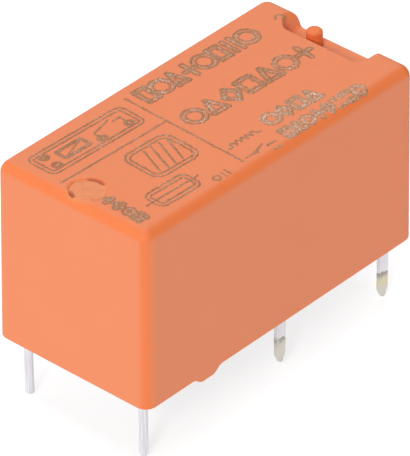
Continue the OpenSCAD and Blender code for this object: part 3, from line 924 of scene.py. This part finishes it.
# Card
# The cream slider that carries the push from the armature to the contact spring: a fork for the armature's
# tongue at one end, a rounded nose at the other, and a foot that runs between the ribs of the base.
card_low, card_high = box_mm("actuator_card")
bar_x = (card_low[0], card_low[0] + 0.95)
card_z = span(coil_at[2], 1.1)
bridge_y = (mid[1] - 0.2, mid[1] + 1.3)
nose_r = 0.25
nose_x = card_high[0] - nose_r
fork_y = card_high[1] - 0.55
fork_z = span(coil_at[2], 0.65)
foot_x = (mid[0] + 6.7, mid[0] + 7.9)


def card_distance(x, y, z):
    bar = slab(x, y, z, bar_x, (mid[1], card_high[1]), card_z, 0.08)
    bridge = slab(x, y, z, (card_low[0], card_high[0]), bridge_y, card_z, 0.08)
    nose = slab(x, y, z, span(nose_x, nose_r), (card_low[1], mid[1] + 1), (0, far_off), nose_r)
    nose = both(nose, np.abs(z - coil_at[2]) - 0.7, 0.06)
    foot = slab(x, y, z, foot_x, (mid[1] - 0.6, mid[1] + 2.4), (card_low[2], card_z[0] + 0.3), 0.08)
    body = joined(joined(joined(bar, bridge, 0.15), nose, 0.1), foot, 0.1)
    return less(body, slab(x, y, z, (bar_x[0] - 1, bar_x[1] + 1), (fork_y, fork_y + 2), fork_z, 0.08), 0.05)


card = moulded("card_moulding", card_distance, (
    [*bar_x, *foot_x, nose_x - nose_r, card_high[0]],
    [card_low[1], *bridge_y, fork_y, card_high[1]],
    [card_low[2], card_z[0], *fork_z, card_z[1]],
), cream, reach=0.2, fine=0.06, coarse=0.5)
stand_in(card, "actuator_card", "card")

# Cover
# One orange moulding of glass-filled polyester, five walls with rounded edges. At the far end its top is
# recessed round a vent nub, at the near end it keeps the dished mark of the gate. Low feet stand on its rim.
rim_z = 0.35
top_z = rim_z + 10.25
edge_r = 0.65
wall = 0.5
ceiling_z = top_z - 0.65
draft = 0.08
rim_foot_x = mid[0] - 5.55
rim_foot_flat = 0.35
rim_foot_half = 1.05
recess_x = cover_high[0] - 1.8
recess_y = (mid[1] - 2.05, mid[1] + 2.5)
recess_depth = 0.88
recess_z = top_z - recess_depth
slope_w = 0.72
nub_at = (cover_high[0] - 1.0, mid[1] + 0.88)
nub_r = 0.425
gate_at = (cover_low[0] + 1.25, mid[1] - 0.1)
gate_r = 0.925
gate_depth = 0.08
tear_depth = 0.19


def drafted(v, axis, z):
    """The coordinate that gives the walls their draft: they lean in by that much from the rim to the top."""
    half = mid[axis] - cover_low[axis]
    return mid[axis] + (v - mid[axis]) * (1 + draft * (z - rim_z) / (top_z - rim_z) / half)


def recess_distance(x, y, z):
    """The air of the vent recess: upright at the armature side and sloping at the contact side."""
    height = np.clip((z - recess_z) / recess_depth, 0, 1)
    spread = (0.35 * height + 0.12 * smooth(height, 0.6, 1)) * smooth(x, recess_x + 0.1, recess_x + 1.0)
    slope = ((y - recess_y[0]) * recess_depth + (z - recess_z) * slope_w) / math.hypot(recess_depth, slope_w)
    across = both(-slope, y - recess_y[1] - spread, 0.3)
    along = both(across, recess_x - x, 0.55)
    sill = recess_z - 0.2 * smooth(x, cover_high[0] - 0.25, cover_high[0]) ** 2
    return both(along, sill - z, 0.16)


def from_gate(x, y):
    """How far from the middle of the gate mark that place is, and which way in degrees."""
    return np.hypot(x - gate_at[0], y - gate_at[1]), np.degrees(np.arctan2(y - gate_at[1], x - gate_at[0]))


def gate_tears(x, y):
    """How far the plastic is ripped there: a crescent on the far rim of the gate mark, a notch on the near.
    This also places their painted shadow.
    """
    away, turn = from_gate(x, y)
    far = smooth(-np.abs(turn - 12), -40, -15) * smooth(-np.abs(away - 0.93), -0.13, -0.03)
    near = smooth(-np.abs(turn - 152), -26, -10) * smooth(-np.abs(away - 0.80), -0.16, -0.05)
    return np.maximum(far, near)


def gate_distance(x, y, z):
    """The shallow dish of the gate mark, with an uneven floor and the ripped places on its rim."""
    away = from_gate(x, y)[0]
    waves = 0.015 * np.sin(7 * x + 2) * np.sin(6 * y)
    ripples = 0.01 * np.sin(9 * x + 3 * np.sin(4 * y)) * np.sin(11 * y)
    dish = both(away - gate_r, top_z - gate_depth - (waves + ripples) - z, 0.05)
    return np.minimum(dish, both(away - gate_r - 0.08, top_z - tear_depth * gate_tears(x, y) - z, 0.03))


def cover_distance(x, y, z):
    skin = block(drafted(x, 0, z), drafted(y, 1, z), z,
                 (*cover_low[:2], -far_off), (*cover_high[:2], top_z), edge_r)
    from_foot = np.minimum(np.abs(x - rim_foot_x), np.where(x > mid[0], np.abs(y - mid[1]), rim_foot_half))
    body = both(skin, rim_z * smooth(from_foot, rim_foot_flat, rim_foot_half) - z, 0.06)
    inside = (cover_low[:2] + wall, cover_high[:2] - wall)
    cavity = block(x, y, z, (*inside[0], -far_off), (*inside[1], ceiling_z), 0.5)
    roof = block(x, y, z, (recess_x - wall, recess_y[0] - wall, recess_z - wall),
                 (cover_high[0], recess_y[1] + wall, recess_z + wall), 0.1)
    body = less(body, less(cavity, roof, 0.1), 0.05)
    body = less(body, recess_distance(x, y, z), 0.12)
    nub = both(rod(x - nub_at[0], y - nub_at[1], nub_r), z - cover_high[2], 0.17)
    body = joined(body, both(nub, recess_z - 0.1 - z, 0.01), 0.06)
    stub = block(x, y, z, (gate_at[0] - 0.62, gate_at[1] - 0.75, top_z - 0.25),
                 (gate_at[0] - 0.3, gate_at[1] - 0.4, top_z - 0.01), 0.06)
    return joined(less(body, gate_distance(x, y, z), 0.1), stub, 0.03)


def cover_finish():
    """Satin orange plastic with a fine moulded grain, duller on the smooth edges. The edges and the nub are
    also painted a deeper orange, a painted reflection: they lack the white sheen that the flats catch.
    """
    plastic = Finish("orange_plastic", {"IOR": 1.5})
    grain = plastic.noise(0.06, 3.0)
    flow = plastic.noise(4.0)
    mottle = plastic.noise(0.22, 3.0).ramp(0.35, 0.65)
    edge_without_sheen, mark, tear_shadow = [plastic.painted(name) for name in ("edge_without_sheen", "gate_mark", "tear_shadow")]
    colour = plastic.mix(flow, (0.825, 0.228, 0.086, 1), (0.845, 0.238, 0.091, 1))
    # Painted reflection: the smooth edges and the nub are painted a deeper orange, for the white sheen that
    # the flats catch and they do not
    colour = plastic.mix(edge_without_sheen, colour, (0.86, 0.200, 0.052, 1))
    colour = plastic.mix(mark * (0.15 + mottle * 0.3), colour, (0.80, 0.34, 0.15, 1))
    # Painted shadow: the ripped crescent and notch of the gate mark are painted dark brown for the shade
    # inside them
    colour = plastic.mix(tear_shadow * 0.75, colour, (0.30, 0.06, 0.025, 1))
    return plastic.shade({
        "Base Color": colour,
        "Roughness": 0.46 + grain * 0.1 + edge_without_sheen * 0.1,
        "Normal": plastic.bump(grain + mark * mottle * 3, 0.004),
    })


cover = moulded("cover_shell", cover_distance, (
    [cover_low[0], cover_low[0] + wall, gate_at[0], *span(gate_at[0], gate_r), *span(rim_foot_x, 0.7),
     recess_x, recess_x + 0.5, nub_at[0], cover_high[0]],
    [cover_low[1], cover_low[1] + wall, recess_y[0] - slope_w, recess_y[0], gate_at[1],
     *span(gate_at[1], gate_r), nub_at[1], recess_y[1], recess_y[1] + 0.4, cover_high[1]],
    [0.2, 0.4, ceiling_z, recess_z, top_z - 0.3, top_z],
), cover_finish(), reach=0.4, fine=0.07, coarse=0.7)
stand_in(cover, "cover")


def paint(name, values):
    """Stores one number for each corner of the cover, for its finish to read."""
    cover.data.attributes.new(name, "FLOAT", "POINT").data.foreach_set("value", values)


corners = np.array([corner.co for corner in cover.data.vertices]) / MM
facing = np.array([corner.normal for corner in cover.data.vertices])
x, y, z = corners.T
on_nub = (z > recess_z + 0.05) * smooth(-np.hypot(x - nub_at[0], y - nub_at[1]), -nub_r - 0.1, -nub_r)
on_top = smooth(z, top_z - 0.3, top_z - 0.2)
in_recess = (x > recess_x - 0.1) & (x < cover_high[0] - 0.2) & (z > recess_z - 0.1)
in_recess &= (y > recess_y[0] - slope_w) & (y < recess_y[1] + 0.5)
# The painted reflection covers the smooth edges, much less inside the recess, and the nub
on_edge = (1 - smooth(np.abs(facing).max(1), 0.86, 0.99)) * (1 - in_recess * 0.8)
paint("edge_without_sheen", np.maximum(on_edge, on_nub))
paint("gate_mark", on_top * smooth(-from_gate(x, y)[0], -gate_r - 0.35, -gate_r + 0.1))
# Where the painted shadow of the ripped places goes
paint("tear_shadow", on_top * gate_tears(x, y))

# Laser marks
# The marking on the top, burnt into the plastic by a laser: narrow scorched lines, and wide strokes with dark
# edges and a paler, foamed inside. It is a pin plan, plain signs, circuit symbols and rows of plain shapes.
mark_turn = math.radians(-1.9)
mark_origin = (7.12, 4.79)
stroke_half = 0.125


def loop(points):
    return [*points, points[0]]


def arc(centre, r, start, sweep, steps):
    """Points round part of a circle, from the angle start on."""
    turns_on = [start + sweep * k / steps for k in range(steps + 1)]
    return [(centre[0] + r * math.cos(turn), centre[1] + r * math.sin(turn)) for turn in turns_on]


def ring(centre, r):
    return arc(centre, r, 0, 2 * math.pi, steps=28)


def frame_line(x_range, y_range, r, inset):
    """A rectangle with rounded corners, drawn that far inside its ranges."""
    line = []
    for quarter, ends in enumerate(((1, 1), (0, 1), (0, 0), (1, 0))):
        reach = zip((x_range, y_range), ends)
        centre = [at[end] - inset - r if end else at[end] + inset + r for at, end in reach]
        line += arc(centre, r, math.pi / 2 * quarter, math.pi / 2, steps=4)
    return loop(line)


def humps(start, width, height, count):
    """A row of half rounds as a coil is drawn, with a short straight lead at each end."""
    line = [(start[0] - width / 2, start[1])]
    for k in range(count * 10 + 1):
        part = k / 10
        line.append((start[0] + width * part, start[1] + height * abs(math.sin(math.pi * part))))
    return [*line, (start[0] + width * (count + 0.5), start[1])]


def around(line):
    """The closed edge of a wide stroke along a straight line."""
    (x0, y0), (x1, y1) = line
    along = math.atan2(y1 - y0, x1 - x0)
    ends = ((line[1], along - math.pi / 2), (line[0], along + math.pi / 2))
    return loop(sum([arc(end, stroke_half, start, math.pi, steps=6) for end, start in ends], []))


def closed(*points):
    """The straight strokes from each point to the next, and back to the first."""
    return list(zip(points, loop(points)[1:]))


square = closed((0, 0), (1, 0), (1, 1), (0, 1))
wedge = closed((0, 0), (1, 0), (0.5, 1))
diamond = closed((0.5, 0), (1, 0.5), (0.5, 1), (0, 0.5))
plus = [((0, 0.5), (1, 0.5)), ((0.5, 0), (0.5, 1))]
posts = [((0.15, 0), (0.15, 1)), ((0.85, 0), (0.85, 1))]
thin_lines = []
wide_lines = []


def shape_row(shapes, start, pitch, size, wide=True):
    """Plain shapes side by side; None is a round one."""
    for k, shape in enumerate(shapes):
        x, y = start[0] + k * pitch, start[1]
        if shape is None:
            centre, r = (x + size[0] / 2, y + size[1] / 2), size[1] / 2
            lines = [ring(centre, r)]
            edges = [ring(centre, r + stroke_half), ring(centre, r - stroke_half)]
        else:
            lines = [[(x + u * size[0], y + v * size[1]) for u, v in line] for line in shape]
            edges = [around(line) for line in lines]
        if wide:
            wide_lines.extend(lines)
            thin_lines.extend(edges)
        else:
            thin_lines.extend(lines)


shape_row([square, None, wedge, plus, None, square, posts, None], (0.65, 1.75), 1.02, (0.68, 1.1))
shape_row([None, wedge, diamond, square, wedge, None, plus], (0.75, -1.25), 1.3, (0.95, 1.1))
shape_row([None, diamond, square, wedge], (3.3, -3.95), 0.95, (0.65, 0.8))
shape_row([square, wedge, None, plus, diamond, posts, square, None], (3.1, -5.2), 0.72, (0.5, 0.6))
thin_lines += [[(-7.3, 0), (0, 0)], [(0, -5.1), (0, 2.8)]]
# The frames and rings of the pin plan and of the two signs have a double line
for inset in (0, 0.24):
    thin_lines += [
        frame_line((-7.1, -0.65), (0.7, 2.6), 0.4 - inset, inset),
        frame_line((-3.9, -0.8), (-3.2, -0.6), 0.6 - inset, inset),
        frame_line((-5.5, -2.7), (-5.0, -3.65), 0.4 - inset, inset),
        frame_line((-5.7, -3.9), (1.25, 2.05), 0.12, inset / 2),
        *(ring(at, 0.25 - inset / 2) for at in ((-6.35, 1.2), (-6.35, 2.1), (-3.2, 1.2), (-1.35, 1.2))),
    ]
# The slash of the coil and the open contact in the pin plan, then the lines across the two signs
thin_lines += [
    [(-5.6, 1.35), (-4.0, 1.95)], [(-3.2, 1.45), (-3.2, 1.8)], [(-3.2, 1.8), (-1.9, 2.15)],
    [(-1.35, 1.45), (-1.35, 1.9)], [(-1.35, 1.9), (-1.8, 1.9)],
    *([(-3.35 + k * 0.52, -2.8), (-2.65 + k * 0.52, -1.0)] for k in range(4)),
    [(-5.85, -4.33), (-2.35, -4.33)],
]
shape_row([None, posts], (-2.1, -5.35), 0.6, (0.4, 0.4), wide=False)
for k, shape in enumerate((square, None, diamond, plus)):
    shape_row([shape], (-7.05, -4.95 + k * 0.68), 0.6, (0.5, 0.42))
# The coil and the switch, and a short hook at the end of the upper row
thin_lines += [
    humps((0.5, -3.9), 0.36, 0.3, 5), [(0.3, -5.0), (0.9, -5.0)], [(0.9, -5.0), (1.75, -4.7)],
    ring((1.0, -5.0), 0.08), [(1.8, -5.0), (2.35, -5.0)], [(1.85, -5.4), (2.4, -5.4)],
    [(10.3, 2.35), (10.4, 2.5), (10.6, 2.55), (10.75, 2.45), (10.75, 2.25), (10.65, 2.15)],
]

beads = Recipe("burnt_line", {
    "Spacing": "Float", "Bead radius": "Float", "Scatter": "Float", "Smallest": "Float", "Seed": "Int"
})


def random_value(kind, low, high, output=0):
    """A random number or vector for each bead; low and high are pairs of a socket's key and its value."""
    sockets = dict([low, high], Seed=beads["Seed"])
    return beads.node("FunctionNodeRandomValue", {"data_type": kind}, sockets, output)


line = beads.node("MeshToCurve", {}, {"Mesh": beads["Geometry"]})
line = beads.node("ResampleCurve", {"mode": "LENGTH"}, {"Curve": line, "Length": beads["Spacing"]})
stray = random_value("FLOAT_VECTOR", (0, (-1, -1, -0.1)), (1, (1, 1, 0)))
stray = beads.node("ShaderNodeVectorMath", {"operation": "SCALE"}, {0: stray, "Scale": beads["Scatter"]})
line = beads.node("SetPosition", {}, {"Geometry": line, "Offset": stray})
size = random_value("FLOAT", (2, beads["Smallest"]), (3, 1.0), 1) * beads["Bead radius"]
spin = random_value("FLOAT_VECTOR", (0, (-0.25, -0.25, 0)), (1, (0.25, 0.25, 6.283)))
bead = beads.node("MeshIcoSphere", {}, {"Radius": 1.0, "Subdivisions": 1})
bead = beads.node("Transform", {}, {"Geometry": bead, "Scale": (1, 0.8, 0.3)})
beads.end(beads.node("InstanceOnPoints", {}, {
    "Points": line, "Instance": bead, "Rotation": spin, "Scale": size
}))


def mark_finish(name, dark, light, sparkle_strength):
    """Plastic scorched or foamed by the laser: dull and uneven, with pale specks painted in as sparkles of
    light.
    """
    burnt = Finish(name, {"IOR": 1.5})
    patch = burnt.noise(1.3).ramp(0.35, 0.65)
    grain = burnt.noise(0.09).ramp(0.3, 0.7)
    pit = burnt.noise(0.10, 1.0, (1, 1.3, 1)).ramp(0.58, 0.66)
    pale = (1 - burnt.coordinate("Y").ramp(1.4, 2.6)) * burnt.coordinate("X").ramp(8.5, 10.5)
    # Painted highlights: pale specks whitened into the colour stand in for sparkles of light, with more of
    # them on the paler marks
    painted_sparkle = (burnt.noise(0.11, 1.0) + pale * 0.06).ramp(0.56, 0.66) * (0.35 + 0.65 * patch)
    colour = burnt.mix(grain * 0.4 + patch * 0.25 + pale * 0.5, dark, light)
    colour = burnt.mix(pit * 0.5, colour, (0.20, 0.09, 0.045, 1))
    return burnt.shade({
        "Base Color": burnt.mix(painted_sparkle * sparkle_strength, colour, (0.86, 0.80, 0.74, 1)),
        "Roughness": 0.5 + grain * 0.3,
    })


def on_cover(line):
    """The line laid on the top of the cover, also where the top rounds off to the side."""
    u, v = np.array(line).T
    x = mark_origin[0] + u * math.cos(mark_turn) - v * math.sin(mark_turn)
    y = mark_origin[1] + u * math.sin(mark_turn) + v * math.cos(mark_turn)
    past_flat = np.clip(cover_low[1] + draft + edge_r - y, 0, edge_r)
    return np.stack([x, y, top_z - edge_r + np.sqrt(edge_r ** 2 - past_flat ** 2)], 1)


def burn(name, lines, finish, spacing, bead_r, scatter, smallest, seed):
    """Lays the beads of one kind of burnt line."""
    marks = line_piece(name, [on_cover(line) for line in lines])
    beads.run(marks, {
        "Spacing": spacing * MM, "Bead radius": bead_r * MM, "Scatter": scatter * MM, "Smallest": smallest,
        "Seed": seed, "Finish": finish
    })
    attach(marks, "housing")


# The last number is how strong the painted sparkles are
scorched = mark_finish("scorched", (0.43, 0.18, 0.08, 1), (0.58, 0.31, 0.17, 1), 0.3)
foamed = mark_finish("foamed", (0.45, 0.21, 0.10, 1), (0.60, 0.44, 0.33, 1), 1.0)
burn("burnt_edges", thin_lines, scorched, spacing=0.045, bead_r=0.1, scatter=0.02, smallest=0.5, seed=3)
burn("foamed_strokes", wide_lines, foamed, spacing=0.012, bead_r=0.056, scatter=0.11, smallest=0.4, seed=5)

# Sealing resin
# Dark epoxy poured into the rim of the cover from below, which glues the cover on and seals it. It creeps up
# the walls and round every pin, and keeps a gloss with a few small bubbles.
resin_low, resin_high = box_mm("sealing_resin")
creep = 0.12
creep_reach = 0.25
grip = 0.05


def resin_distance(x, y, z):
    outline = flat(x, y, (resin_low[0], resin_high[0]), (resin_low[1], resin_high[1]), 0.5)
    holes = [rod(x - at[0], y - at[1], pin_r) for at in pins_at]
    holes += [flat(x, y, span(at, blade_w / 2), span(0, sheet_y), 0.02) for at in (common_x, fixed_x)]
    near = np.minimum.reduce([-outline, *holes])
    level = resin_low[2] + creep * (1 - np.exp(-np.maximum(near, 0) / creep_reach))
    body = np.maximum.reduce([(level - z) * 0.9, z - resin_high[2], outline - grip])
    return np.maximum.reduce([body, *(-grip - hole for hole in holes)])


def resin_finish():
    """Cast epoxy: nearly black, glossy, with slow ripples, dust and a few bubbles under the skin."""
    epoxy = Finish("dark_epoxy", {"IOR": 1.55, "Coat Roughness": 0.05})
    ripple = epoxy.noise(2.2)
    dust = epoxy.noise(0.08).ramp(0.62, 0.72)
    bubble = 1 - epoxy.node("TexVoronoi", {}, {"Vector": epoxy.place(), "Scale": 1.3}, output="Distance")
    return epoxy.shade({
        "Base Color": epoxy.mix(dust * 0.5, (0.018, 0.017, 0.017, 1), (0.11, 0.10, 0.09, 1)),
        "Roughness": 0.14 + dust * 0.3,
        "Coat Weight": 0.4 - dust * 0.3,
        "Normal": epoxy.bump(ripple * 0.8 + bubble.ramp(0.75, 0.95) * 0.2, 0.06),
    })


resin = moulded("cast_resin", resin_distance, (
    [resin_low[0], 0, *span(common_x, blade_w / 2), *span(fixed_x, blade_w / 2), resin_high[0]],
    [resin_low[1], *span(0, sheet_y), 3 * grid_pitch, resin_high[1]],
    [resin_low[2] + 0.02, resin_low[2] + creep, resin_high[2]],
), resin_finish(), reach=0.4, fine=0.052, coarse=0.8)
stand_in(resin, "sealing_resin")

# Studio
# A pale table with even, soft light from large panels, brightest from the near left. The camera has the
# photo's angle; it stands far off and sees only a narrow field.
table_z = box_mm("coil_pin_right")[0][2]
table_half = 600
table_finish = Finish("pale_table", {
    "Base Color": (0.32, 0.32, 0.32, 1), "Roughness": 0.8,
    "Emission Color": (1, 1, 1, 1), "Emission Strength": 0.79
})
table_corners = [(table_half * x, table_half * y, table_z) for x, y in ((-1, -1), (1, -1), (1, 1), (-1, 1))]
table = mesh_piece("table_top", table_corners, [(0, 1, 2, 3)], table_finish.material)

aim = Vector((8.256, 3.32, 4.36)) * MM
light_distance = 0.5


def panel(name, direction, size, power):
    """A square soft light that faces the relay; direction runs from the relay to the light."""
    lamp = bpy.data.lights.new(name, "AREA")
    lamp.size = size
    lamp.energy = power
    light = added(name, lamp)
    away = Vector(direction).normalized()
    light.location = aim + away * light_distance
    light.rotation_mode = "QUATERNION"
    light.rotation_quaternion = away.to_track_quat("Z", "Y")


panel("key_light", (-0.75, -0.33, 0.55), size=0.12, power=1.37)
panel("top_light", (0, 0, 1), size=0.35, power=1.37)
panel("right_light", (0.45, -0.85, 0.35), size=0.3, power=0.18)
panel("back_light", (0.6, 0.55, 0.5), size=0.4, power=0.55)
panel("left_light", (-0.3, 0.9, 0.35), size=0.4, power=0.74)
world = bpy.data.worlds.new("studio_air")
world.use_nodes = True
world.node_tree.nodes["Background"].inputs["Color"].default_value = (1, 1, 1, 1)
world.node_tree.nodes["Background"].inputs["Strength"].default_value = 0.02
bpy.context.scene.world = world
bpy.context.scene.view_settings.view_transform = "Standard"

lens = bpy.data.cameras.new("photo_camera")
lens.lens = 491.49
lens.sensor_width = 36.0
lens.clip_start = 0.01
lens.clip_end = 10
camera = added("photo_camera", lens)
stand = Vector((-179.224, -163.48, 178.7)) * MM
roll = math.radians(-0.147)
look = (aim - stand).normalized()
level = Vector((look.y, -look.x, 0)).normalized()
rise = level.cross(look)
right = math.cos(roll) * level + math.sin(roll) * rise
up = -math.sin(roll) * level + math.cos(roll) * rise
camera.matrix_world = Matrix.Translation(stand) @ Matrix((right, up, -look)).transposed().to_4x4()
bpy.context.scene.camera = camera
